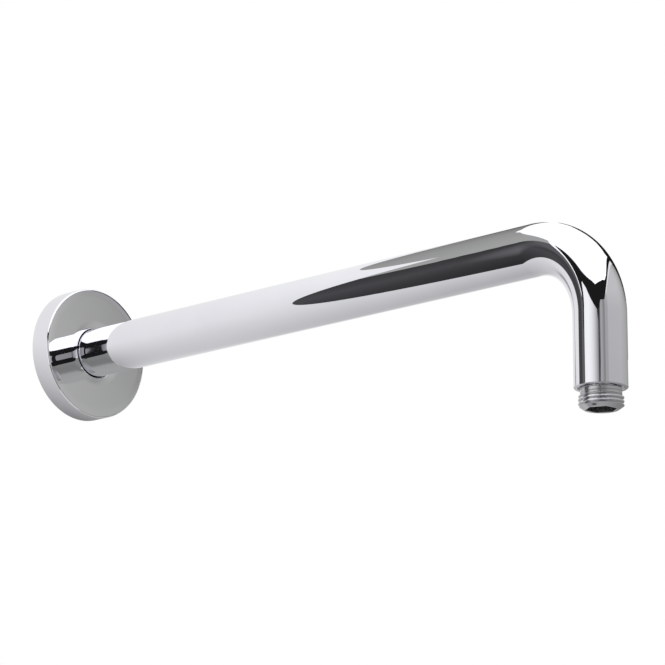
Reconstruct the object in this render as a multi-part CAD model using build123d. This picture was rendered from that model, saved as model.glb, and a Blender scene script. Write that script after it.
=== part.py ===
from build123d import *
import os

# Wall-mounted shower arm: a thick-walled brass tube that runs straight out of the wall and bends down
# once, tapped at both ends for hex-socket nipples, with a slip-on round flange that hides the wall hole.
# Millimetres. The origin is on the tube's axis in the plane of the wall, +X out of the wall, +Z up.

# Pipe thread of nominal half-inch size, drawn as plain cylinders over its crests
THREAD_MAJOR = 20.955
THREAD_MINOR = 18.631
THREAD_CLEARANCE = 0.05

# Arm tube
TUBE_OD = 25.0
TUBE_WALL = 3.0
REACH = 350.0
DROP = 71.7
BEND_RADIUS = 37.5
WALL_STANDOFF = 3.0
OUTLET_ROUND = 0.6
INLET_CHAMFER = 0.5
TAP_DEPTH = 16.0
TAP_MOUTH = 0.4
EDGE_SHARE = 0.75

# Nipples
SCREWED_IN = 14.0
RUNOUT = 0.6
LEAD_CHAMFER = 1.0
RELIEF_IN_TUBE = 1.0
HEX_FLATS = 13.0
OUTLET_NECK = 3.3
OUTLET_THREAD = 4.0
INLET_NECK = 2.0
INLET_THREAD = 14.0
END_CHAMFER_LENGTH = 1.9
END_CHAMFER_RISE = 2.3
OUTLET_HEX_TURN = 34.0

# Wall flange
FLANGE_OD = 68.0
FLANGE_DEPTH = 12.0
FLANGE_FACE = 2.5
FLANGE_RIM = 2.5
FLANGE_EDGE_ROUND = 1.0
HOLE_CLEARANCE = 0.4
HOLE_LIP_ROUND = 1.2
HUB_LENGTH = 8.5
HUB_WALL = 2.0
RECESS_FILLET = 1.0
BACK_CHAMFER = 0.4

# Ring of rubber that grips the tube from inside the flange's hub
SEAL_SECTION = 2.0
SEAL_SQUEEZE = 0.3
SEAL_CLEARANCE = 0.1
GROOVE_WIDTH = 2.8
GROOVE_LIP = 1.8

tube_radius = TUBE_OD / 2
bore_radius = tube_radius - TUBE_WALL
crest_radius = THREAD_MAJOR / 2
root_radius = THREAD_MINOR / 2
tap_radius = crest_radius + THREAD_CLEARANCE
end_wall = tube_radius - tap_radius - TAP_MOUTH
outlet_round = min(OUTLET_ROUND, EDGE_SHARE * end_wall)
inlet_chamfer = min(INLET_CHAMFER, EDGE_SHARE * end_wall)
hole_radius = tube_radius + HOLE_CLEARANCE
groove_radius = tube_radius + SEAL_SECTION - SEAL_SQUEEZE
hub_radius = groove_radius + HUB_WALL
hub_back = FLANGE_DEPTH - HUB_LENGTH
groove_back = hub_back + GROOVE_LIP

inlet_end = Plane(origin=(WALL_STANDOFF, 0, 0), x_dir=(0, 1, 0), z_dir=(-1, 0, 0))
outlet_end = Plane(origin=(REACH, 0, -DROP), x_dir=(1, 0, 0), z_dir=(0, 0, -1))


def corner(section, x, radius):
    """The vertex of a half section that lies at a distance x along the axis and a radius from it."""
    return section.vertices().sort_by_distance((x, 0, radius))[0]


def swept_rod(path, radius):
    """A round rod of one radius along the whole path."""
    start = Plane(origin=path @ 0, z_dir=path % 0)
    return sweep(start * Circle(radius), path=path)


def tapped_hole(end):
    """The hole that a nipple screws into, from the tube's end inwards."""
    return end * Cylinder(tap_radius, TAP_DEPTH, align=(Align.CENTER, Align.CENTER, Align.MAX))


def arm_tube():
    """The bent tube: one swept wall, tapped at both ends, with its outlet edge rounded for plating."""
    path = FilletPolyline((WALL_STANDOFF, 0, 0), (REACH, 0, 0), (REACH, 0, -DROP), radius=BEND_RADIUS)
    tube = swept_rod(path, tube_radius) - swept_rod(path, bore_radius)
    tube = tube - tapped_hole(inlet_end) - tapped_hole(outlet_end)
    outlet_face = tube.faces().sort_by(Axis.Z)[0]
    tube = fillet(outlet_face.outer_wire().edges(), outlet_round)
    outlet_face = tube.faces().filter_by(Plane.XY).sort_by(Axis.Z)[0]
    tube = chamfer(outlet_face.inner_wires()[0].edges(), TAP_MOUTH)
    inlet_face = tube.faces().filter_by(Plane.YZ).sort_by(Axis.X)[0]
    tube = chamfer(inlet_face.outer_wire().edges(), inlet_chamfer)
    inlet_face = tube.faces().filter_by(Plane.YZ).sort_by(Axis.X)[0]
    return chamfer(inlet_face.inner_wires()[0].edges(), TAP_MOUTH)


def nipple(neck, thread):
    """A double nipple about +Z with the tube's end face at height 0 and a hex bored right through it.

    One thread goes down into the tube. Above the tube a plain neck at root size, as long as neck, leads
    to the outer thread, and a long chamfer narrows its end.
    """
    top = neck + RUNOUT + thread + END_CHAMFER_LENGTH
    section = Plane.XZ * make_face(
        Polyline(
            (0, -SCREWED_IN),
            (root_radius, -SCREWED_IN),
            (crest_radius, -SCREWED_IN + LEAD_CHAMFER),
            (crest_radius, -RELIEF_IN_TUBE - RUNOUT),
            (root_radius, -RELIEF_IN_TUBE),
            (root_radius, neck),
            (crest_radius, neck + RUNOUT),
            (crest_radius, neck + RUNOUT + thread),
            (crest_radius - END_CHAMFER_RISE, top),
            (0, top),
            close=True,
        )
    )
    hexagon = RegularPolygon(HEX_FLATS / 2, 6, major_radius=False)
    hex_bore = Pos(0, 0, -SCREWED_IN) * extrude(hexagon, SCREWED_IN + top)
    return revolve(section, Axis.Z) - hex_bore


def inlet_nipple():
    """The nipple that screws into the fitting behind the wall."""
    return inlet_end * nipple(INLET_NECK, INLET_THREAD)


def outlet_nipple():
    """The nipple that takes the shower head, turned to the angle at which it came to rest."""
    return outlet_end * Rot(Z=OUTLET_HEX_TURN) * nipple(OUTLET_NECK, OUTLET_THREAD)


def wall_flange():
    """A turned cup that covers the wall hole, with a grooved hub that slides on the tube."""
    rim_radius = FLANGE_OD / 2
    recess_radius = rim_radius - FLANGE_RIM
    recess_floor = FLANGE_DEPTH - FLANGE_FACE
    section = Plane.XZ * make_face(
        Polyline(
            (0, recess_radius),
            (0, rim_radius),
            (FLANGE_DEPTH, rim_radius),
            (FLANGE_DEPTH, hole_radius),
            (groove_back + GROOVE_WIDTH, hole_radius),
            (groove_back + GROOVE_WIDTH, groove_radius),
            (groove_back, groove_radius),
            (groove_back, hole_radius),
            (hub_back, hole_radius),
            (hub_back, hub_radius),
            (recess_floor, hub_radius),
            (recess_floor, recess_radius),
            close=True,
        )
    )
    section = fillet(corner(section, FLANGE_DEPTH, rim_radius), FLANGE_EDGE_ROUND)
    section = fillet(corner(section, FLANGE_DEPTH, hole_radius), HOLE_LIP_ROUND)
    section = fillet(corner(section, recess_floor, hub_radius), RECESS_FILLET)
    section = fillet(corner(section, recess_floor, recess_radius), RECESS_FILLET)
    for x, radius in ((0, rim_radius), (hub_back, hole_radius), (hub_back, hub_radius)):
        section = chamfer(corner(section, x, radius), BACK_CHAMFER)
    return revolve(section, Axis.X)


def flange_o_ring():
    """The rubber ring as the groove and the tube squeeze it: flat where it bears, round at its sides."""
    inner = tube_radius + SEAL_CLEARANCE
    height = groove_radius - SEAL_CLEARANCE / 2 - inner
    width = SEAL_SECTION + SEAL_SQUEEZE
    middle = groove_back + GROOVE_WIDTH / 2
    section = Pos(middle, inner + height / 2) * SlotOverall(width, height)
    return revolve(Plane.XZ * section, Axis.X)


os.makedirs("parts", exist_ok=True)
for make in (arm_tube, inlet_nipple, outlet_nipple, wall_flange, flange_o_ring):
    piece = make()
    export_step(piece, f"parts/{make.__name__}.step")
    print(f"{make.__name__}: {piece.volume / 1000:.2f} cm3")
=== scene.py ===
# %% [markdown]
# A wall-mounted shower arm: a chrome tube that leaves the wall, runs straight out and bends down once.
# A round flange covers the wall hole, and a dull threaded nipple at the outlet takes the shower head.
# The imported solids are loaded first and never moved. Every piece below lies exactly where they are.

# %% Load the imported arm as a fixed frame
import math
import bpy
import numpy as np
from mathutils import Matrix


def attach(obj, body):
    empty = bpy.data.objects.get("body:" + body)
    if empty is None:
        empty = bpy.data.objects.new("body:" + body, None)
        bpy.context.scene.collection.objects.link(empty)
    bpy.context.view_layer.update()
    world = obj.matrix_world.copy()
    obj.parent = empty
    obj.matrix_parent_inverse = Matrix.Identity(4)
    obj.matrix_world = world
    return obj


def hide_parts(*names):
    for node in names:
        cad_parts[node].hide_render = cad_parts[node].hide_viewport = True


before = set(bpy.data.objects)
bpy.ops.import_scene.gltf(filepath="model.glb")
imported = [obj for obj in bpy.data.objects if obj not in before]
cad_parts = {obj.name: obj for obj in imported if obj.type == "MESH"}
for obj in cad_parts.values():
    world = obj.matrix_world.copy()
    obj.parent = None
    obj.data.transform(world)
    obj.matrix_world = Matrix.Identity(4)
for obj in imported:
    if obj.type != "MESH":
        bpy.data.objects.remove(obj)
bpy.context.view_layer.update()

MM = 0.001

# %% [markdown]
# Polished chrome shows every flat of a coarse mesh, because it mirrors the room. So each solid is drawn
# again as a fine grid of points. A ring of metal is a torus to a mesh: its outline closes on itself and so
# does the turn about the axis. One helper can skin any such grid, with no seam and no pole to close.

# %% Skin a grid that closes both ways
def closed_skin(name, rows, marks, crease=30.0):
    """Skin over a grid of points that closes both ways, as a torus does.

    Point (j, i) is joined to (j, i + 1), (j + 1, i + 1) and (j + 1, i), and both counts wrap round. The
    signed volume, the sum of a . (b x c) / 6 over the triangles, tells whether the faces point outwards.
    marks holds named values for each point, and edges sharper than crease stay sharp.
    """
    count, columns = rows.shape[:2]
    index = np.arange(count * columns).reshape(count, columns)
    beside = np.roll(index, -1, axis=1)
    faces = np.stack([index, beside, np.roll(beside, -1, 0), np.roll(index, -1, 0)], axis=-1).reshape(-1, 4)
    points = rows.reshape(-1, 3)
    a, b, c, d = (points[faces[:, k]] for k in range(4))
    volume = (np.sum(a * np.cross(b, c)) + np.sum(a * np.cross(c, d))) / 6
    if volume < 0:
        faces = faces[:, ::-1]
    mesh = bpy.data.meshes.new(name)
    mesh.from_pydata(points.tolist(), [], faces.tolist())
    mesh.polygons.foreach_set("use_smooth", np.ones(len(faces), dtype=bool))
    for mark, values in marks.items():
        layer = mesh.attributes.new(mark, "FLOAT", "POINT")
        layer.data.foreach_set("value", np.broadcast_to(values, (count, columns)).astype(np.float32).ravel())
    mesh.set_sharp_from_angle(angle=math.radians(crease))
    mesh.update()
    piece = bpy.data.objects.new(name, mesh)
    bpy.context.scene.collection.objects.link(piece)
    print(f"{name}: {2 * len(faces)} triangles, {abs(volume) / MM**3 / 1000:.2f} cm3")
    return piece


# %% [markdown]
# A turned piece is known by its outline. Real edges are never knife sharp: plating needs a small radius,
# and that radius is what catches the light. A Bevel modifier could round them, but then each edge of a
# piece gets the same radius, so here each corner of an outline states its own.

# %% Round the corners of an outline
def unit(vector):
    """The vector divided by its length."""
    return vector / np.linalg.norm(vector)


def rounded_loop(corners, steps=8, hold=0.12):
    """Closed outline through corners (along, radius, round), in millimetres.

    A corner with a round becomes an arc that touches both edges at round / tan(half the corner's angle),
    and its points turn evenly between the two touching points. Long edges get a point at hold from
    either end, so that shading bends only near the corner.
    """
    spots = np.array([corner[:2] for corner in corners], float)
    outline = []
    for spot, before, after, corner in zip(spots, np.roll(spots, 1, 0), np.roll(spots, -1, 0), corners):
        if corner[2] == 0:
            outline.append(spot[None])
            continue
        u, v = unit(before - spot), unit(after - spot)
        half = math.acos(u @ v) / 2
        sweep = math.pi - 2 * half
        centre = spot + unit(u + v) * corner[2] / math.sin(half)
        start = spot + u * corner[2] / math.tan(half) - centre
        end = spot + v * corner[2] / math.tan(half) - centre
        t = np.linspace(0, 1, steps + 1)[:, None]
        arc = (start * np.sin((1 - t) * sweep) + end * np.sin(t * sweep)) / math.sin(sweep)
        outline.append(centre + arc)
    outline = np.concatenate(outline)
    edge = np.roll(outline, -1, 0) - outline
    length = np.linalg.norm(edge, axis=1)
    long = np.flatnonzero(length > 6 * hold)
    share = (hold / length[long])[:, None]
    held = [outline[long] + edge[long] * share, outline[long] + edge[long] * (1 - share)]
    order = np.concatenate([np.arange(len(outline)), long + 0.3, long + 0.6])
    return np.concatenate([outline, *held])[np.argsort(order)]


def run_of(loop):
    """Distance along a closed outline from its first point to each point, in millimetres."""
    step = np.linalg.norm(np.roll(loop, -1, 0) - loop, axis=1)
    return np.concatenate([[0], np.cumsum(step)[:-1]])[:, None]


# %% [markdown]
# The arm is one length of thick brass tube, bent cold over a round former. Its centre line is a straight
# run, a quarter circle and a short drop. A Curve object with a round bevel would give the outside, but
# not the tapped ends, so the whole outline, outside and bore, is carried along that line.

# %% Draw the bent tube
TUBE_RADIUS, BORE_RADIUS, TAP_RADIUS = 12.5, 9.5, 10.5275
WALL_STANDOFF, REACH, DROP, BEND_RADIUS = 3.0, 350.0, 71.7, 37.5
OUTLET_ROUND, INLET_CHAMFER, TAP_MOUTH, TAP_DEPTH = 0.6, 0.5, 0.2, 16.0
RUN_FROM, BEND_HOLD, DROP_HOLD, RUN_STATIONS, BEND_STATIONS = 20.0, 0.5, 10.0, 12, 91
run_end = REACH - BEND_RADIUS
bend_end = run_end + BEND_RADIUS * math.pi / 2
tube_end = bend_end + DROP - BEND_RADIUS


def with_stations(loop, stations):
    """Adds a point wherever an edge of the outline passes one of the stations along the arm."""
    edge = np.roll(loop, -1, 0) - loop
    with np.errstate(divide="ignore", invalid="ignore"):
        share = (stations[None, :] - loop[:, :1]) / edge[:, :1]
    which, station = np.nonzero((share > 1e-6) & (share < 1 - 1e-6))
    part = share[which, station]
    order = np.concatenate([np.arange(len(loop)), which + part])
    return np.concatenate([loop, loop[which] + edge[which] * part[:, None]])[np.argsort(order)]


def along_arm(loop, columns):
    """Carries an outline of (distance along the arm, radius) round the arm's centre line.

    The centre goes straight to run_end, then turns by (distance - run_end) / bend radius, up to a quarter
    turn, and then goes straight down. A ring at each distance is centre + radius (cos t up + sin t Y),
    where up leans over with the turn, to (sin turn, 0, cos turn).
    """
    along, radius = loop[:, 0], loop[:, 1]
    turn = np.clip((along - run_end) / BEND_RADIUS, 0, math.pi / 2)
    x = np.minimum(along, run_end) + BEND_RADIUS * np.sin(turn)
    z = BEND_RADIUS * (np.cos(turn) - 1) - np.maximum(along - bend_end, 0)
    centre = np.stack([x, 0 * x, z], axis=1)[:, None, :]
    up = np.stack([np.sin(turn), 0 * x, np.cos(turn)], axis=1)[:, None, :]
    t = (np.arange(columns) * 2 * math.pi / columns)[None, :, None]
    ring = np.cos(t) * up + np.sin(t) * np.array([0.0, 1.0, 0.0])
    return (centre + radius[:, None, None] * ring) * MM


tube_loop = rounded_loop([
    (WALL_STANDOFF, TUBE_RADIUS - INLET_CHAMFER, 0),
    (WALL_STANDOFF + INLET_CHAMFER, TUBE_RADIUS, 0),
    (tube_end, TUBE_RADIUS, OUTLET_ROUND),
    (tube_end, TAP_RADIUS + TAP_MOUTH, 0),
    (tube_end - TAP_MOUTH, TAP_RADIUS, 0),
    (tube_end - TAP_DEPTH, TAP_RADIUS, 0),
    (tube_end - TAP_DEPTH, BORE_RADIUS, 0),
    (WALL_STANDOFF + TAP_DEPTH, BORE_RADIUS, 0),
    (WALL_STANDOFF + TAP_DEPTH, TAP_RADIUS, 0),
    (WALL_STANDOFF + TAP_MOUTH, TAP_RADIUS, 0),
    (WALL_STANDOFF, TAP_RADIUS + TAP_MOUTH, 0),
])
# The outline gets a few stations on the run, many round the bend and two on the drop.
run_steps = np.linspace(RUN_FROM, run_end - BEND_HOLD, RUN_STATIONS)
bend_steps = np.linspace(run_end, bend_end, BEND_STATIONS)
drop_steps = [bend_end + BEND_HOLD, bend_end + DROP_HOLD]
tube_loop = with_stations(tube_loop, np.concatenate([run_steps, bend_steps, drop_steps]))
plated = (tube_loop[:, 1] > BORE_RADIUS + 0.1).astype(float)[:, None]
tube_marks = {"along": run_of(tube_loop), "plated": plated}
arm_tube = closed_skin("arm_tube_skin", along_arm(tube_loop, columns=144), tube_marks)
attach(arm_tube, "arm")
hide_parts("arm_tube")

# %% [markdown]
# The flange is a shallow cup turned from brass. Its flat face hides the hole in the wall, and a hub inside
# it slides on the tube. A Spin of the outline about the tube's axis would do, and so does the formula
# below, which needs no merging of doubles afterwards. Buffing has rolled the face off by a few tenths of a
# millimetre at its edges. The outline hardly shows it, but it bends every stripe that the face mirrors.

# %% Turn the wall flange
RIM_RADIUS, RECESS_RADIUS, FLANGE_DEPTH, RECESS_FLOOR = 34.0, 31.5, 12.0, 9.5
HOLE_RADIUS, GROOVE_RADIUS, HUB_RADIUS = 12.9, 14.2, 16.2
HUB_BACK, GROOVE_BACK, GROOVE_FRONT, BACK_CHAMFER = 3.5, 5.3, 8.1, 0.4
RIM_ROUND, LIP_ROUND, RECESS_FILLET, ARC_CLEAR = 1.0, 0.6, 1.0, 1.2
ROLL_FROM, ROLL_FALL, FLARE_FROM, FLARE_FALL = 29.0, 0.17, 17.6, 0.42


def turned(loop, columns):
    """Turns an outline of (x, radius) about the X axis: points go to (x, radius cos t, radius sin t)."""
    t = np.arange(columns) * 2 * math.pi / columns
    x, radius = np.broadcast_arrays(loop[:, :1], loop[:, 1:])
    across, up = radius * np.cos(t), radius * np.sin(t)
    return np.stack([np.broadcast_to(x, across.shape), across, up], axis=-1) * MM


def face_at(radius):
    """Distance of the face from the wall, in millimetres: the depth less two falls that start from zero.

    One grows with the square of the way from ROLL_FROM out to the rim, and the other with the square of
    the way from FLARE_FROM in to the hole.
    """
    roll = np.maximum(radius - ROLL_FROM, 0) / (RIM_RADIUS - ROLL_FROM)
    flare = np.maximum(FLARE_FROM - radius, 0) / (FLARE_FROM - HOLE_RADIUS)
    return FLANGE_DEPTH - ROLL_FALL * roll**2 - FLARE_FALL * flare**2


# The points along the face keep clear of the arcs at its two edges.
rolled = np.linspace(RIM_RADIUS - ARC_CLEAR * RIM_ROUND, ROLL_FROM, 12)
flared = np.linspace(FLARE_FROM, HOLE_RADIUS + ARC_CLEAR * LIP_ROUND, 10)
face_points = np.concatenate([rolled, flared])
flange_loop = rounded_loop([
    (0.0, RECESS_RADIUS, 0),
    (0.0, RIM_RADIUS - BACK_CHAMFER, 0),
    (BACK_CHAMFER, RIM_RADIUS, 0),
    (face_at(RIM_RADIUS), RIM_RADIUS, RIM_ROUND),
    *np.stack([face_at(face_points), face_points, 0 * face_points], axis=1),
    (face_at(HOLE_RADIUS), HOLE_RADIUS, LIP_ROUND),
    (GROOVE_FRONT, HOLE_RADIUS, 0),
    (GROOVE_FRONT, GROOVE_RADIUS, 0),
    (GROOVE_BACK, GROOVE_RADIUS, 0),
    (GROOVE_BACK, HOLE_RADIUS, 0),
    (HUB_BACK + BACK_CHAMFER, HOLE_RADIUS, 0),
    (HUB_BACK, HOLE_RADIUS + BACK_CHAMFER, 0),
    (HUB_BACK, HUB_RADIUS - BACK_CHAMFER, 0),
    (HUB_BACK + BACK_CHAMFER, HUB_RADIUS, 0),
    (RECESS_FLOOR, HUB_RADIUS, RECESS_FILLET),
    (RECESS_FLOOR, RECESS_RADIUS, RECESS_FILLET),
])
flange_marks = {"along": run_of(flange_loop), "plated": 1.0}
wall_flange = closed_skin("wall_flange_skin", turned(flange_loop, columns=256), flange_marks)
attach(wall_flange, "flange")
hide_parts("wall_flange")

# %% [markdown]
# A rubber ring in the hub's groove holds the flange where it is pushed. The groove and the tube squeeze
# its round section flat on two sides. A torus primitive has a round section, so the same turning formula
# is used on a flattened outline.

# %% Turn the rubber ring
RING_MIDDLE, RING_WIDTH, RING_INNER, RING_OUTER, ARC_GAP = 6.7, 2.3, 12.6, 14.15, 0.005
ring_side = (RING_OUTER - RING_INNER) / 2 - ARC_GAP
ring_loop = rounded_loop([
    (RING_MIDDLE - RING_WIDTH / 2, RING_INNER, ring_side),
    (RING_MIDDLE - RING_WIDTH / 2, RING_OUTER, ring_side),
    (RING_MIDDLE + RING_WIDTH / 2, RING_OUTER, ring_side),
    (RING_MIDDLE + RING_WIDTH / 2, RING_INNER, ring_side),
], steps=6)
rubber_ring = closed_skin("flange_ring_skin", turned(ring_loop, columns=128), {"along": run_of(ring_loop)})
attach(rubber_ring, "flange")
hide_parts("flange_o_ring")

# %% [markdown]
# Each end of the tube holds a short nipple with a half-inch pipe thread. The thread is one ridge that winds
# up the nipple, with its crests and roots rounded. A Screw modifier can wind a ridge, but it can't fade it
# into the neck or cut it off at the end chamfer. Here the radius is the smaller of two functions of height
# and angle: the winding ridge, and the plain outline that the nipple was turned to first.

# %% Wind the thread of a nipple
CREST_RADIUS, ROOT_RADIUS, NECK_RADIUS, PITCH = 10.4775, 9.4355, 9.6155, 1.8143
SCREWED_IN, LEAD_CHAMFER, RELIEF_IN_TUBE, RUNOUT = 14.0, 1.0, 1.0, 0.6
END_CHAMFER_RISE, HEX_FLATS, HEX_BREAK, FIRST_RING, MOUTH_RING = 2.3, 13.0, 0.15, 0.2, 3.0
# Of the constants below, the chamfer value is the share of the painted crest highlight, against the painted
# root shade, that the chamfer and end face get, and also their share of the crests' smoother rubbed finish.
NICK_DEPTH, NICK_HEIGHT, NICK_ANGLE, CHAMFER_SHEEN_AND_WEAR, MOUTH_SHADE = 0.45, 0.25, 6.0, 0.55, 0.15


def ridge_height(turns):
    """Height of the pipe thread over its root, for a place given in turns from a crest.

    The flanks stand 27.5 degrees off the square, so they fall by 0.9605 pitch in half a pitch. Arcs of
    0.1373 pitch round the crest and the root, and meet the flanks at 0.1218 pitch from their middles.
    """
    arc, meet, fall, half_height = 0.1373, 0.1218, 0.9605, 0.3202
    off = np.abs((turns + 0.5) % 1 - 0.5)
    crest = half_height - arc + np.sqrt(np.maximum(arc**2 - off**2, 0))
    root = -half_height + arc - np.sqrt(np.maximum(arc**2 - (0.5 - off) ** 2, 0))
    flank = fall * (0.5 - 2 * off)
    shape = np.where(off < meet, crest, np.where(off > 0.5 - meet, root, flank))
    return (shape + half_height) * PITCH


def nipple_skin(name, neck, thread, chamfer, origin, axis, side, hex_turn, crest_at, columns, per_pitch,
                nick=None):
    """A nipple whose radius is the smaller of its plain outline and its root plus the winding ridge.

    Heights run along axis from the tube's end. A crest climbs one pitch in each turn, right-handed about
    axis. The hex bore's radius is half its flats / cos(angle from the middle of a flat). The grid goes up
    the outside, over the end face, down the bore, and closes over the inner end. A nick, given by its
    height and angle, is a dent of NICK_DEPTH exp(-(height off / NICK_HEIGHT)^2 - (angle off / NICK_ANGLE)^4).
    """
    top = neck + RUNOUT + thread + chamfer
    knots = [-SCREWED_IN, -SCREWED_IN + LEAD_CHAMFER, -RELIEF_IN_TUBE - RUNOUT, -RELIEF_IN_TUBE]
    knots = knots + [neck, neck + RUNOUT, neck + RUNOUT + thread, top]
    sizes = [ROOT_RADIUS, CREST_RADIUS, CREST_RADIUS, NECK_RADIUS, NECK_RADIUS, CREST_RADIUS, CREST_RADIUS]
    sizes = sizes + [CREST_RADIUS - END_CHAMFER_RISE]
    height = np.concatenate([knots[:4], np.linspace(FIRST_RING, top, int(top / PITCH * per_pitch))])
    angle = math.radians(hex_turn) + np.arange(columns) * 2 * math.pi / columns
    plain = np.interp(height, knots, sizes)[:, None]
    turns = (height[:, None] - crest_at) / PITCH - angle / (2 * math.pi)
    ridge = np.where(height[:, None] > 0, ROOT_RADIUS + ridge_height(turns), CREST_RADIUS)
    dent = np.zeros((len(height), columns))
    if nick:
        off = (np.degrees(angle) - nick[1] + 180) % 360 - 180
        dent = np.exp(-((height[:, None] - nick[0]) / NICK_HEIGHT) ** 2 - (off / NICK_ANGLE) ** 4)
    outside = np.minimum(plain, ridge) - NICK_DEPTH * dent
    flat = HEX_FLATS / 2 / np.cos((angle - math.radians(hex_turn)) % (math.pi / 3) - math.pi / 6)
    bore = np.array([top, top - HEX_BREAK, top - MOUTH_RING, 0.0, -SCREWED_IN + HEX_BREAK, -SCREWED_IN])
    widen = np.array([HEX_BREAK, 0, 0, 0, 0, HEX_BREAK])
    radius = np.concatenate([outside, flat + widen[:, None]])
    level = np.concatenate([height, bore])[:, None]
    axis, side = np.array(axis, float), np.array(side, float)
    ring = np.cos(angle)[:, None] * side + np.sin(angle)[:, None] * np.cross(axis, side)
    points = np.array(origin, float) + level[..., None] * axis + radius[..., None] * ring
    # Painted light: the ridge's height is kept so that the material paints the crests pale as a highlight and
    # the roots dark as shade, with the chamfer and end face at a middle share. It also sets how smooth each
    # place is.
    rise = (outside - ROOT_RADIUS) / (CREST_RADIUS - ROOT_RADIUS)
    crest = np.where(height[:, None] > knots[6], CHAMFER_SHEEN_AND_WEAR, rise)
    crest = np.concatenate([crest, np.ones((len(bore), columns))])
    # Painted shade: the hex bore grows darker with depth from its mouth, and the nick is darkened too.
    deep = np.repeat(np.linspace(MOUTH_SHADE, 1, len(bore))[:, None], columns, axis=1)
    bore_and_nick_shade = np.concatenate([np.minimum(2 * dent, 1), deep])
    return closed_skin(name, points * MM, {"along": level, "crest": np.clip(crest, 0, 1), "bore_and_nick_shade": bore_and_nick_shade})


# %% [markdown]
# The outlet nipple is the only thread that the photograph shows. Its first crest sits 4.45 mm below the
# tube's end on the right of the picture, and that fixes where the ridge starts. The inlet nipple is the
# same kind of piece with a longer thread, for the fitting behind the wall.

# %% Place both nipples
VIEW_RIGHT, FIRST_CREST = 43.7, 4.45
outlet_nipple = nipple_skin(
    "outlet_nipple_skin", neck=3.3, thread=4.3, chamfer=1.6, origin=(REACH, 0, -DROP), axis=(0, 0, -1),
    side=(1, 0, 0), hex_turn=34.0, crest_at=FIRST_CREST + PITCH * VIEW_RIGHT / 360, columns=180,
    per_pitch=36, nick=(9.1, 71.0))
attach(outlet_nipple, "arm")
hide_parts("outlet_nipple")

inlet_nipple = nipple_skin(
    "inlet_nipple_skin", neck=2.0, thread=14.0, chamfer=1.9, origin=(WALL_STANDOFF, 0, 0), axis=(-1, 0, 0),
    side=(0, 1, 0), hex_turn=0.0, crest_at=3.0, columns=150, per_pitch=26)
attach(inlet_nipple, "arm")
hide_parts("inlet_nipple")

# %% [markdown]
# Even new metal isn't even. Polishing leaves a faint haze in patches, and a lathe leaves fine rings round
# the axis. More than one finish needs both, so each is a node group that puts out plain values. The haze
# reads Object coordinates, in metres. The lathe rings read each piece's own distance along its outline.

# %% Build the shared haze and lathe groups
def add_node(tree, kind, inputs=(), **settings):
    """A new node with its settings, and with values or links put into its named inputs."""
    node = tree.nodes.new(kind)
    for key, value in settings.items():
        setattr(node, key, value)
    for key, value in dict(inputs).items():
        if isinstance(value, bpy.types.NodeSocket):
            tree.links.new(value, node.inputs[key])
        else:
            node.inputs[key].default_value = value
    return node


def new_group(name, inputs, outputs):
    """An empty node group with float inputs and outputs, and its two end nodes."""
    group = bpy.data.node_groups.new(name, "ShaderNodeTree")
    for socket in inputs:
        group.interface.new_socket(socket, in_out="INPUT", socket_type="NodeSocketFloat")
    for socket in outputs:
        group.interface.new_socket(socket, in_out="OUTPUT", socket_type="NodeSocketFloat")
    return group, group.nodes.new("NodeGroupInput"), group.nodes.new("NodeGroupOutput")


haze, haze_in, haze_out = new_group("polish_haze", ["Patches per metre"], ["Haze", "Specks"])
place = add_node(haze, "ShaderNodeTexCoord").outputs["Object"]
patches = add_node(haze, "ShaderNodeTexNoise", {"Vector": place, "Scale": haze_in.outputs[0], "Detail": 3.0})
fine = add_node(haze, "ShaderNodeMath", {0: haze_in.outputs[0], 1: 40.0}, operation="MULTIPLY")
specks = add_node(haze, "ShaderNodeTexNoise", {"Vector": place, "Scale": fine.outputs[0], "Detail": 2.0})
haze.links.new(patches.outputs["Fac"], haze_out.inputs["Haze"])
haze.links.new(specks.outputs["Fac"], haze_out.inputs["Specks"])

lathe, lathe_in, lathe_out = new_group("lathe_rings", ["Rings per mm"], ["Rings"])
along = add_node(lathe, "ShaderNodeAttribute", attribute_name="along").outputs["Fac"]
count = add_node(lathe, "ShaderNodeMath", {0: along, 1: lathe_in.outputs[0]}, operation="MULTIPLY")
ring_noise = {"W": count.outputs[0], "Scale": 1.0, "Detail": 3.0}
rings = add_node(lathe, "ShaderNodeTexNoise", ring_noise, noise_dimensions="1D")
lathe.links.new(rings.outputs["Fac"], lathe_out.inputs["Rings"])
print("groups", [g.name for g in (haze, lathe)])

# %% [markdown]
# Chrome is almost a mirror: its look is the room around it. The finish needs little more than a pale grey
# metal with a very low roughness, which the haze lifts a little in patches. Deep in the bore the plating
# stops, and bare brass shows.

# %% Mix the polished chrome
def new_material(name):
    """A material with an empty Principled shader, its node tree and that shader."""
    material = bpy.data.materials.new(name)
    material.use_nodes = True
    tree = material.node_tree
    return material, tree, tree.nodes["Principled BSDF"]


def spread(tree, source, low, high):
    """A noise value of about 0.3 to 0.7 spread over low to high."""
    values = {"Value": source, "From Min": 0.3, "From Max": 0.7, "To Min": low, "To Max": high}
    return add_node(tree, "ShaderNodeMapRange", values).outputs["Result"]


def blended(tree, factor, first, second):
    """A colour between two colours, by a factor from 0 to 1."""
    mix = add_node(tree, "ShaderNodeMix", {"Factor": factor}, data_type="RGBA")
    for socket, colour in zip((mix.inputs[6], mix.inputs[7]), (first, second)):
        if isinstance(colour, bpy.types.NodeSocket):
            tree.links.new(colour, socket)
        else:
            socket.default_value = (*colour, 1.0)
    return mix.outputs[2]


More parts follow.
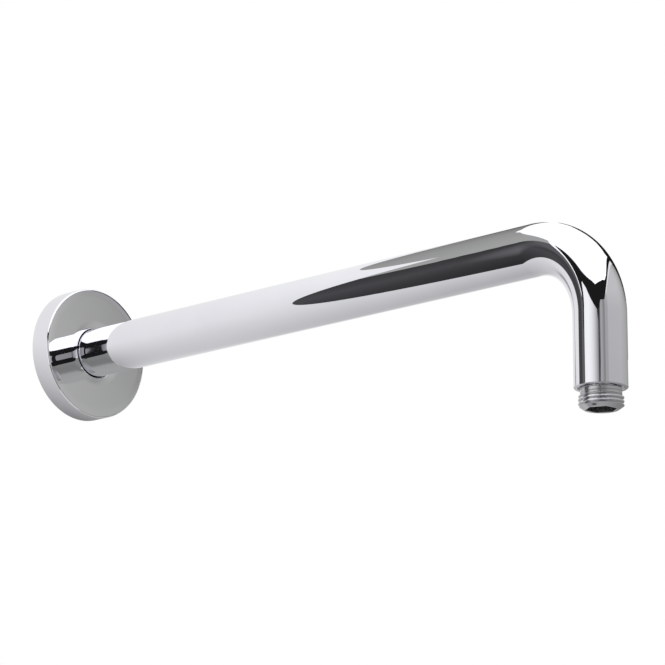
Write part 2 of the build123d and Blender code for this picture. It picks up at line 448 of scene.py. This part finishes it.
CHROME_DIM, CHROME_PALE, BARE_BRASS = (0.845, 0.849, 0.895), (0.865, 0.868, 0.91), (0.52, 0.37, 0.16)
chrome, tree, shader = new_material("polished_chrome")
shader.inputs["Metallic"].default_value = 1.0
polish = add_node(tree, "ShaderNodeGroup", {"Patches per metre": 45.0}, node_tree=haze)
plating = add_node(tree, "ShaderNodeAttribute", attribute_name="plated").outputs["Fac"]
tone = blended(tree, spread(tree, polish.outputs["Haze"], 0, 1), CHROME_DIM, CHROME_PALE)
tree.links.new(blended(tree, plating, BARE_BRASS, tone), shader.inputs["Base Color"])
gloss = spread(tree, polish.outputs["Haze"], 0.008, 0.028)
dull = add_node(tree, "ShaderNodeMapRange", {"Value": plating, "To Min": 0.35, "To Max": 0.0})
rough = add_node(tree, "ShaderNodeMath", {0: gloss, 1: dull.outputs["Result"]}, operation="ADD")
tree.links.new(rough.outputs[0], shader.inputs["Roughness"])
for piece in (arm_tube, wall_flange):
    piece.data.materials.append(chrome)
print("chrome on", arm_tube.name, wall_flange.name)

# %% [markdown]
# The nipples are turned brass with a satin nickel plate, so they only blur the room. The tool leaves rings
# in the metal, and the roots of the thread stay rougher than the crests, which fingers and tools have rubbed.
# The roots are also painted darker as painted shade, and the crests paler as a painted highlight. The height
# of the ridge was kept as an attribute, and it drives both that roughness and the painted light and shade.

# %% Mix the satin nickel
# Painted light: the root colour is painted shade in the thread's grooves, and the crest colour is a painted
# highlight on its ridges.
NICKEL_ROOT_SHADE, NICKEL_CREST_HIGHLIGHT = (0.48, 0.483, 0.50), (0.90, 0.904, 0.935)
NICKEL_HAZE, BORE_SHADE = (0.66, 0.662, 0.68), (0.12, 0.12, 0.125)
nickel, tree, shader = new_material("satin_nickel")
shader.inputs["Metallic"].default_value = 1.0
polish = add_node(tree, "ShaderNodeGroup", {"Patches per metre": 120.0}, node_tree=haze)
tooling = add_node(tree, "ShaderNodeGroup", {"Rings per mm": 9.0}, node_tree=lathe)
crest = add_node(tree, "ShaderNodeAttribute", attribute_name="crest").outputs["Fac"]
bore_and_nick_shade = add_node(tree, "ShaderNodeAttribute", attribute_name="bore_and_nick_shade").outputs["Fac"]
# Painted light and shade: the ridge height mixes the painted root shade into the painted crest highlight.
tone = blended(tree, crest, NICKEL_ROOT_SHADE, NICKEL_CREST_HIGHLIGHT)
tone = blended(tree, spread(tree, polish.outputs["Haze"], 0, 0.35), tone, NICKEL_HAZE)
# Painted shade: the bore darkens with depth, and the nick is darkened too.
tree.links.new(blended(tree, bore_and_nick_shade, tone, BORE_SHADE), shader.inputs["Base Color"])
turned_finish = spread(tree, tooling.outputs["Rings"], 0.07, 0.13)
worn = add_node(tree, "ShaderNodeMapRange", {"Value": crest, "To Min": 0.14, "To Max": 0.0})
rough = add_node(tree, "ShaderNodeMath", {0: turned_finish, 1: worn.outputs["Result"]}, operation="ADD")
broaching = {0: bore_and_nick_shade, 1: 0.3, 2: rough.outputs[0]}
broached = add_node(tree, "ShaderNodeMath", broaching, operation="MULTIPLY_ADD")
tree.links.new(broached.outputs[0], shader.inputs["Roughness"])
grains = {0: tooling.outputs["Rings"], 1: polish.outputs["Specks"]}
grain = add_node(tree, "ShaderNodeMath", grains, operation="ADD")
bump = add_node(tree, "ShaderNodeBump", {"Height": grain.outputs[0], "Strength": 0.25, "Distance": 0.00003})
tree.links.new(bump.outputs["Normal"], shader.inputs["Normal"])
for piece in (outlet_nipple, inlet_nipple):
    piece.data.materials.append(nickel)
print("nickel on", outlet_nipple.name, inlet_nipple.name)

# %% [markdown]
# The ring is moulded black rubber. It never mirrors anything, and grease and dust give it a slightly
# uneven dull black.

# %% Mix the rubber
RUBBER_BLACK, RUBBER_DUSTY = (0.014, 0.014, 0.015), (0.030, 0.029, 0.028)
rubber, tree, shader = new_material("seal_rubber")
polish = add_node(tree, "ShaderNodeGroup", {"Patches per metre": 90.0}, node_tree=haze)
tone = blended(tree, spread(tree, polish.outputs["Haze"], 0, 1), RUBBER_BLACK, RUBBER_DUSTY)
tree.links.new(tone, shader.inputs["Base Color"])
tree.links.new(spread(tree, polish.outputs["Specks"], 0.55, 0.8), shader.inputs["Roughness"])
grit = {"Height": polish.outputs["Specks"], "Strength": 0.3, "Distance": 0.00005}
bump = add_node(tree, "ShaderNodeBump", grit)
tree.links.new(bump.outputs["Normal"], shader.inputs["Normal"])
rubber_ring.data.materials.append(rubber)
print("rubber on", rubber_ring.name)

# %% [markdown]
# The photograph was taken from below, to the right, with a long lens, and the values below put the
# camera there. The frame is square, so the sensor's width fits it both ways.

# %% Set up the camera
CAMERA_AT, CAMERA_TURN, CAMERA_LIFT = (1.36969, -1.24219, -0.43438), 43.72, 13.635
SENSOR, LENS = 36.0, 196.436
camera_data = bpy.data.cameras.new("photo_camera")
camera_data.sensor_width, camera_data.lens = SENSOR, LENS
camera = bpy.data.objects.new("photo_camera", camera_data)
camera.location = CAMERA_AT
camera.rotation_euler = (math.radians(90 + CAMERA_LIFT), 0.0, math.radians(CAMERA_TURN))
bpy.context.scene.collection.objects.link(camera)
bpy.context.scene.camera = camera
print("camera at", CAMERA_AT, "lens", LENS)

# %% [markdown]
# In a studio, chrome is lit by what it mirrors: white sheets for its bright areas, black flags for the dark
# lines that show its form. A picture of a room could be wrapped round the scene, but single sheets are
# easier to understand and to move. Each one glows by an amount kept at its points, and only mirror rays
# can see it, so it neither shades the floor nor shows behind the arm.

# %% Build the studio sheets
BEND_AT = np.array([0.345, 0.0, -0.02])
PLAIN, DARK_ROOM = (1.0, 1.0, 1.0), (1.0, 0.985, 1.035)
GREY_CARD, LOW_CARD = (1.0, 1.005, 0.96), (1.0, 1.005, 0.92)
BLACK, DEEP_BLACK = 0.012, 0.01
ROUND_COLUMNS, ROUND_ROWS, FLAT_POINTS, EDGE_POINTS = 73, 25, 161, 9
glowing = bpy.data.materials.new("studio_glow")
glowing.use_nodes = True
tree = glowing.node_tree
tree.nodes.clear()
glow = add_node(tree, "ShaderNodeAttribute", attribute_name="glow").outputs["Color"]
light = add_node(tree, "ShaderNodeEmission", {"Color": glow})
screen_end = add_node(tree, "ShaderNodeOutputMaterial")
tree.links.new(light.outputs[0], screen_end.inputs["Surface"])


def open_faces(rows, columns):
    """Corner numbers of the square faces over an open grid of points, row by row."""
    index = np.arange(rows * columns).reshape(rows, columns)
    corners = [index[:-1, :-1], index[:-1, 1:], index[1:, 1:], index[1:, :-1]]
    return np.stack(corners, axis=-1).reshape(-1, 4).tolist()


def sheet(name, points, glow, tint=PLAIN):
    """An open skin over a grid of points, lit by a glow for each point and seen only in reflections."""
    rows, columns = points.shape[:2]
    mesh = bpy.data.meshes.new(name)
    mesh.from_pydata(points.reshape(-1, 3).tolist(), [], open_faces(rows, columns))
    shine = np.ones((rows, columns, 4))
    shine[..., :3] = np.broadcast_to(glow, (rows, columns))[..., None] * np.array(tint)
    layer = mesh.attributes.new("glow", "FLOAT_COLOR", "POINT")
    layer.data.foreach_set("color", shine.astype(np.float32).ravel())
    mesh.materials.append(glowing)
    card = bpy.data.objects.new(name, mesh)
    bpy.context.scene.collection.objects.link(card)
    card.visible_camera = card.visible_diffuse = card.visible_shadow = False
    print(f"{name}: glow {np.min(glow):.2f} to {np.max(glow):.2f}")


def curved_sheet(name, bearing, low, high, away, glow, tint=PLAIN):
    """A sheet on a sphere about the bend: (cos e cos b, cos e sin b, sin e) times away.

    The bearing b runs evenly between two angles about Z from +X, and the elevation e from low to high,
    which are angles or functions of the bearing. glow may be a function of bearing and elevation.
    """
    b = np.linspace(*bearing, ROUND_COLUMNS)[None, :]
    low, high = (edge(b) if callable(edge) else edge for edge in (low, high))
    e = low + (high - low) * np.linspace(0, 1, ROUND_ROWS)[:, None] + 0 * b
    b = b + 0 * e
    shine = glow(b, e) if callable(glow) else glow
    b, e = np.radians(b), np.radians(e)
    way = np.stack([np.cos(e) * np.cos(b), np.cos(e) * np.sin(b), np.sin(e)], axis=-1)
    sheet(name, BEND_AT + away * way, shine, tint)


def upright_sheet(name, x, right, left, z, glow, tint=PLAIN):
    """A flat sheet in a plane of constant x, from a right edge that may slant with z to a left edge.

    Its glow and its tint may be functions of y and z.
    """
    share, up = np.meshgrid(np.linspace(0, 1, FLAT_POINTS), np.linspace(*z, FLAT_POINTS))
    edge = right(up) if callable(right) else right
    across = edge + (left - edge) * share
    points = np.stack([np.full_like(across, x), across, up], axis=-1)
    glow, tint = (value(across, up) if callable(value) else value for value in (glow, tint))
    sheet(name, points, glow, tint)


def edge_on_sheet(name, bearing, near, far, low, high, glow):
    """A flat upright sheet that stands edge-on to the bend: away (cos b, sin b, tan e), with one bearing b.

    The elevation e runs from low to high, and away from near to far, both given at low and at high.
    """
    share, rise = np.meshgrid(np.linspace(0, 1, EDGE_POINTS), np.linspace(0, 1, EDGE_POINTS))
    near, far = (foot + (top - foot) * rise for foot, top in (near, far))
    away, e = near + (far - near) * share, np.radians(low + (high - low) * rise)
    b = np.full_like(e, math.radians(bearing))
    way = np.stack([np.cos(b), np.sin(b), np.tan(e)], axis=-1)
    sheet(name, BEND_AT + away[..., None] * way, glow)


# %% [markdown]
# The tube's long stripes are a white board in the plane of the wall: its straight right edge and top edge
# show on the run, and the dark room shows past them. It is brightest at the top, where the soft light over
# the set reaches it first, and the flange and the tube shade it softly below and to the left.

# %% Hang the wall board and the dark room behind it
def board_edge(z):
    """Right edge of the board, which leans a little: y = -0.194 - 0.06 z."""
    return -0.194 - 0.06 * z


def board_glow(y, z):
    """Brightness of the board: it falls off downwards, under the arm, and close below the flange.

    The arm's wide shade grows from z = 0 down and from the right edge to the left. The flange's shade
    dies away as exp(-distance / 20 mm) from its rim, and grows round it from just above the level to
    straight down.
    """
    height = np.interp(z, [-0.65, -0.4, -0.3, -0.2, -0.1, 0.0, 0.2],
                       [0.55, 0.62, 0.667, 0.71, 0.765, 0.845, 0.955])
    wide = 0.27 * np.clip(-z / 0.08, 0, 1) * np.clip((y + 0.15) / 0.35, 0, 1)
    radius = np.maximum(np.hypot(y, z), 1e-6)
    off = np.maximum(radius - RIM_RADIUS * MM, 0)
    close = 0.72 * np.clip(0.1 - 0.9 * z / radius, 0, 1) ** 1.3 * np.exp(-off / 0.02)
    return height * (1 - wide) * (1 - close)


def room_line(y):
    """Height at which the dark room turns grey: z = 0.27, climbing by 0.65 to the right of y = -0.46."""
    return 0.27 + 0.65 * np.maximum(-0.46 - y, 0)


def room_glow(y, z):
    """Brightness of the room behind the board: dark below the line, then grey, lighter on the right."""
    dark = np.interp(z, [-0.5, -0.25, 0.0, 0.1, 0.25], [0.03, 0.045, 0.072, 0.06, 0.045])
    dark = dark + 0.07 * np.clip((-0.56 - y) / 0.06, 0, 1)
    grey = np.interp(y, [-0.45, 0.0, 0.2, 0.3, 0.36, 0.46, 0.52], [0.40, 0.33, 0.27, 0.25, 0.13, 0.13, 0.4])
    return np.where(z < room_line(y), dark, grey)


def room_tint(y, z):
    """Colour of the room: the dark part is a little bluish, and the grey above the line a little warm."""
    return np.where((z < room_line(y))[..., None], DARK_ROOM, GREY_CARD)


def dome_glow(b, e):
    """Brightness of the soft dome: greatest within 40 degrees of straight out from the wall."""
    return np.interp(np.abs((b + 180) % 360 - 180), [40, 60], [1.4, 1.2])


upright_sheet("wall_board", -0.001, board_edge, 0.6, (-0.65, 0.245), board_glow)
upright_sheet("room_behind", -0.18, -0.74, 0.56, (-1.2, 0.611), room_glow, room_tint)
curved_sheet("soft_dome", (0, 360), 12, 90, 2.6, dome_glow)

# %% [markdown]
# The bend mirrors almost the whole room, so it shows the sheets beside and in front of the arm: a grey
# screen on the right with a black gap over it, a black flag in front, and a white panel under that flag.
# The flange and the tube meet at a right angle, so their corner mirrors what stands beside the camera: a
# black stand, and a flag turned edge-on to the bend, which only the corner can see. A grey card that is
# edge-on in the same way softens the line that the flange's rolled-off edge mirrors. Low cards in front, a
# dark corner at the back and a bowl under the outlet fill in the rest of what the bend sees.

# %% Stand the screens and flags round the bend
def plane_top(slope, middle):
    """Top edge of an upright plane seen from the bend: tan e = slope cos(b - middle)."""
    return lambda b: np.degrees(np.arctan(slope * np.cos(np.radians(b - middle))))


def by_bearing(bearings, values):
    """A function of the bearing that joins a few values by straight lines."""
    return lambda b, e=None: np.interp(b, bearings, values)


def raised(edge, angle):
    """An edge of a sheet, raised by an angle all along."""
    return lambda b: edge(b) + angle


def screen_glow(b, e):
    """Brightness of the grey screen: it fades towards both ends.

    Upwards it grows a little on the right, and past a bearing of 76 degrees it fades instead.
    """
    across = np.interp(b, [-29, -19, -15, 45, 72, 82, 92, 100],
                       [0.415, 0.415, 0.515, 0.525, 0.45, 0.42, 0.37, 0.36])
    growth = 0.13 * np.clip((e - 13) / 17, -1, 1) * np.clip((75 - b) / 15, 0, 1)
    fade = 0.0167 * np.clip(b - 76, 0, 12) * np.clip((e - 13) / 4, 0, 1)
    return across * (1 + growth - fade)


def bowl_glow(b, e):
    """Brightness of the bowl below the outlet: dark at its rim, and pale high at the back, by the board."""
    dark = np.interp(e, [-90, -70, -45], [0.44, 0.36, 0.26])
    pale = np.interp(b, [135, 165, 205, 225], [0, 1, 1, 0]) * np.interp(e, [-65, -55], [0, 1])
    return dark + (0.6 - dark) * pale


def stand_edge(z):
    """Right edge of the black stand: y = -1.342 + 0.42 (z - 0.008)^2, and -1.215 above z = 0.3."""
    return np.where(z > 0.3, -1.215, -1.342 + 0.42 * (z - 0.008) ** 2)


screen_top = plane_top(1.09, 43)
flag_foot = by_bearing(
    [-119, -113, -110, -100, -80, -67, -60, -57, -51, -46, -28],
    [12, 18.5, 20.5, 20.8, 16.9, 13.9, 12.5, 12.2, 14, 20, 21])
flag_top = by_bearing(
    [-121, -100, -70, -58, -50, -40, -20, -10, 2],
    [30, 28.8, 31.8, 31.2, 33.8, 36.3, 40, 40, 44])
panel_glow = by_bearing([-118, -100, -88, -79, -70, -62, -57], [1.0, 1.04, 0.94, 0.81, 0.61, 0.40, 0.23])
patch_glow = by_bearing([-51.5, -50, -44, -33, -28], [0.3, 0.37, 0.42, 0.25, 0.31])
curved_sheet("grey_screen", (55, -29), -25, screen_top, 0.4, screen_glow)
curved_sheet("grey_wing", (100, 55), -25, screen_top, 0.4, screen_glow, GREY_CARD)
curved_sheet("screen_edge", (95, -20), raised(screen_top, -2.5), screen_top, 0.397, 0.84)
curved_sheet("screen_gap", (100, -10), raised(screen_top, -0.5), plane_top(1.22, 43), 0.41, DEEP_BLACK)
curved_sheet("front_flag", (2, -123), flag_foot, flag_top, 0.95, BLACK)
curved_sheet("front_panel", (-56, -118.5), -14, raised(flag_foot, 3), 1.3, panel_glow)
curved_sheet("grey_patch", (-28, -53), -8.4, raised(flag_foot, 3), 1.72, patch_glow)
upright_sheet("dark_stand", 1.38, stand_edge, -1.6, (-0.57, 0.58), BLACK)
edge_on_sheet("corner_flag", -54.5, (0.72, 0.72), (1.1, 1.1), -26, 18, BLACK)
edge_on_sheet("rim_card", 115, (0.268, 0.193), (0.292, 0.217), 24, 42, 0.37)
curved_sheet("bench_edge", (-28, -62), -27, -8.4, 1.71, BLACK)
curved_sheet("slit_foot", (-117.5, -127), -14, 14.5, 1.55, 0.12)

corner_foot = by_bearing([86, 93, 97, 101, 106, 110, 114, 122], [37, 26, 19, 15, 15, 20, 28, 33])
corner_top = by_bearing([86, 95, 103, 112, 118, 124], [45, 44.5, 44, 46, 46, 42])
curved_sheet("back_corner", (86, 124), corner_foot, corner_top, 0.385, DEEP_BLACK)
curved_sheet("back_card", (98, 113), 6, 28, 0.43, by_bearing([98, 106, 112], [0.36, 0.33, 0.30]))
curved_sheet("back_shade", (110, 131), 8, by_bearing([110, 123, 127, 131], [40, 40, 38, 35]), 0.42, 0.03)
curved_sheet("back_foot", (98, 128.8), -28, 6, 0.43, 0.26)

low_foot = by_bearing([-45, -36], [-60, -75])
low_top = by_bearing([-66, -62, -43, -39], [-18.5, -26, -26, -18.5])
low_glow = by_bearing([-60, -40, -20, 0, 40, 70, 90], [0.3, 0.24, 0.25, 0.42, 0.45, 0.4, 0.28])
curved_sheet("low_front", (140, -125), low_foot, low_top, 1.15, low_glow, LOW_CARD)
curved_sheet("dark_bowl", (0, 360), -90, -45, 0.2, bowl_glow)

# %% [markdown]
# A pale floor lies far below, out of the picture, and the world is plain white. The floor fades into that
# white with distance, so that no horizon shows. Light Path lets the camera and mirror rays see full white,
# while the light that falls on dull surfaces stays at a plain level.

# %% Lay the floor and light the world
FLOOR_AT, FLOOR_HALF, FLOOR_POINTS, FADE_FROM, FADE_OVER = -1.5, 14.0, 57, 1.5, 6.0
FLOOR_GREY, DULL_LIGHT, FULL_WHITE = (0.85, 0.85, 0.85, 1.0), 0.85, 1.0
across = np.linspace(-FLOOR_HALF, FLOOR_HALF, FLOOR_POINTS)
x, y = np.meshgrid(across, across)
floor_points = np.stack([x, y, np.full_like(x, FLOOR_AT)], axis=-1).reshape(-1, 3)
floor_mesh = bpy.data.meshes.new("floor")
floor_mesh.from_pydata(floor_points.tolist(), [], open_faces(FLOOR_POINTS, FLOOR_POINTS))
fading = np.clip((np.hypot(x, y) - FADE_FROM) / FADE_OVER, 0, 1)
layer = floor_mesh.attributes.new("far", "FLOAT", "POINT")
layer.data.foreach_set("value", fading.astype(np.float32).ravel())
floor = bpy.data.objects.new("floor", floor_mesh)
bpy.context.scene.collection.objects.link(floor)
pale, tree, shader = new_material("pale_floor")
shader.inputs["Base Color"].default_value = FLOOR_GREY
shader.inputs["Roughness"].default_value = 0.8
far = add_node(tree, "ShaderNodeAttribute", attribute_name="far").outputs["Fac"]
blank = add_node(tree, "ShaderNodeEmission", {"Strength": FULL_WHITE})
fade = add_node(tree, "ShaderNodeMixShader", {0: far, 1: shader.outputs[0], 2: blank.outputs[0]})
tree.links.new(fade.outputs[0], tree.nodes["Material Output"].inputs["Surface"])
floor_mesh.materials.append(pale)

world = bpy.data.worlds.new("white_studio")
bpy.context.scene.world = world
world.use_nodes = True
tree = world.node_tree
ray = add_node(tree, "ShaderNodeLightPath")
seen = ray.outputs["Is Camera Ray"]
for kind in ("Is Glossy Ray", "Is Transmission Ray"):
    seen = add_node(tree, "ShaderNodeMath", {0: seen, 1: ray.outputs[kind]}, operation="MAXIMUM").outputs[0]
level = add_node(tree, "ShaderNodeMapRange", {"Value": seen, "To Min": DULL_LIGHT, "To Max": FULL_WHITE})
background = tree.nodes["Background"]
background.inputs["Color"].default_value = (1.0, 1.0, 1.0, 1.0)
tree.links.new(level.outputs["Result"], background.inputs["Strength"])
bpy.context.scene.view_settings.view_transform = "Standard"
print("floor at", FLOOR_AT)
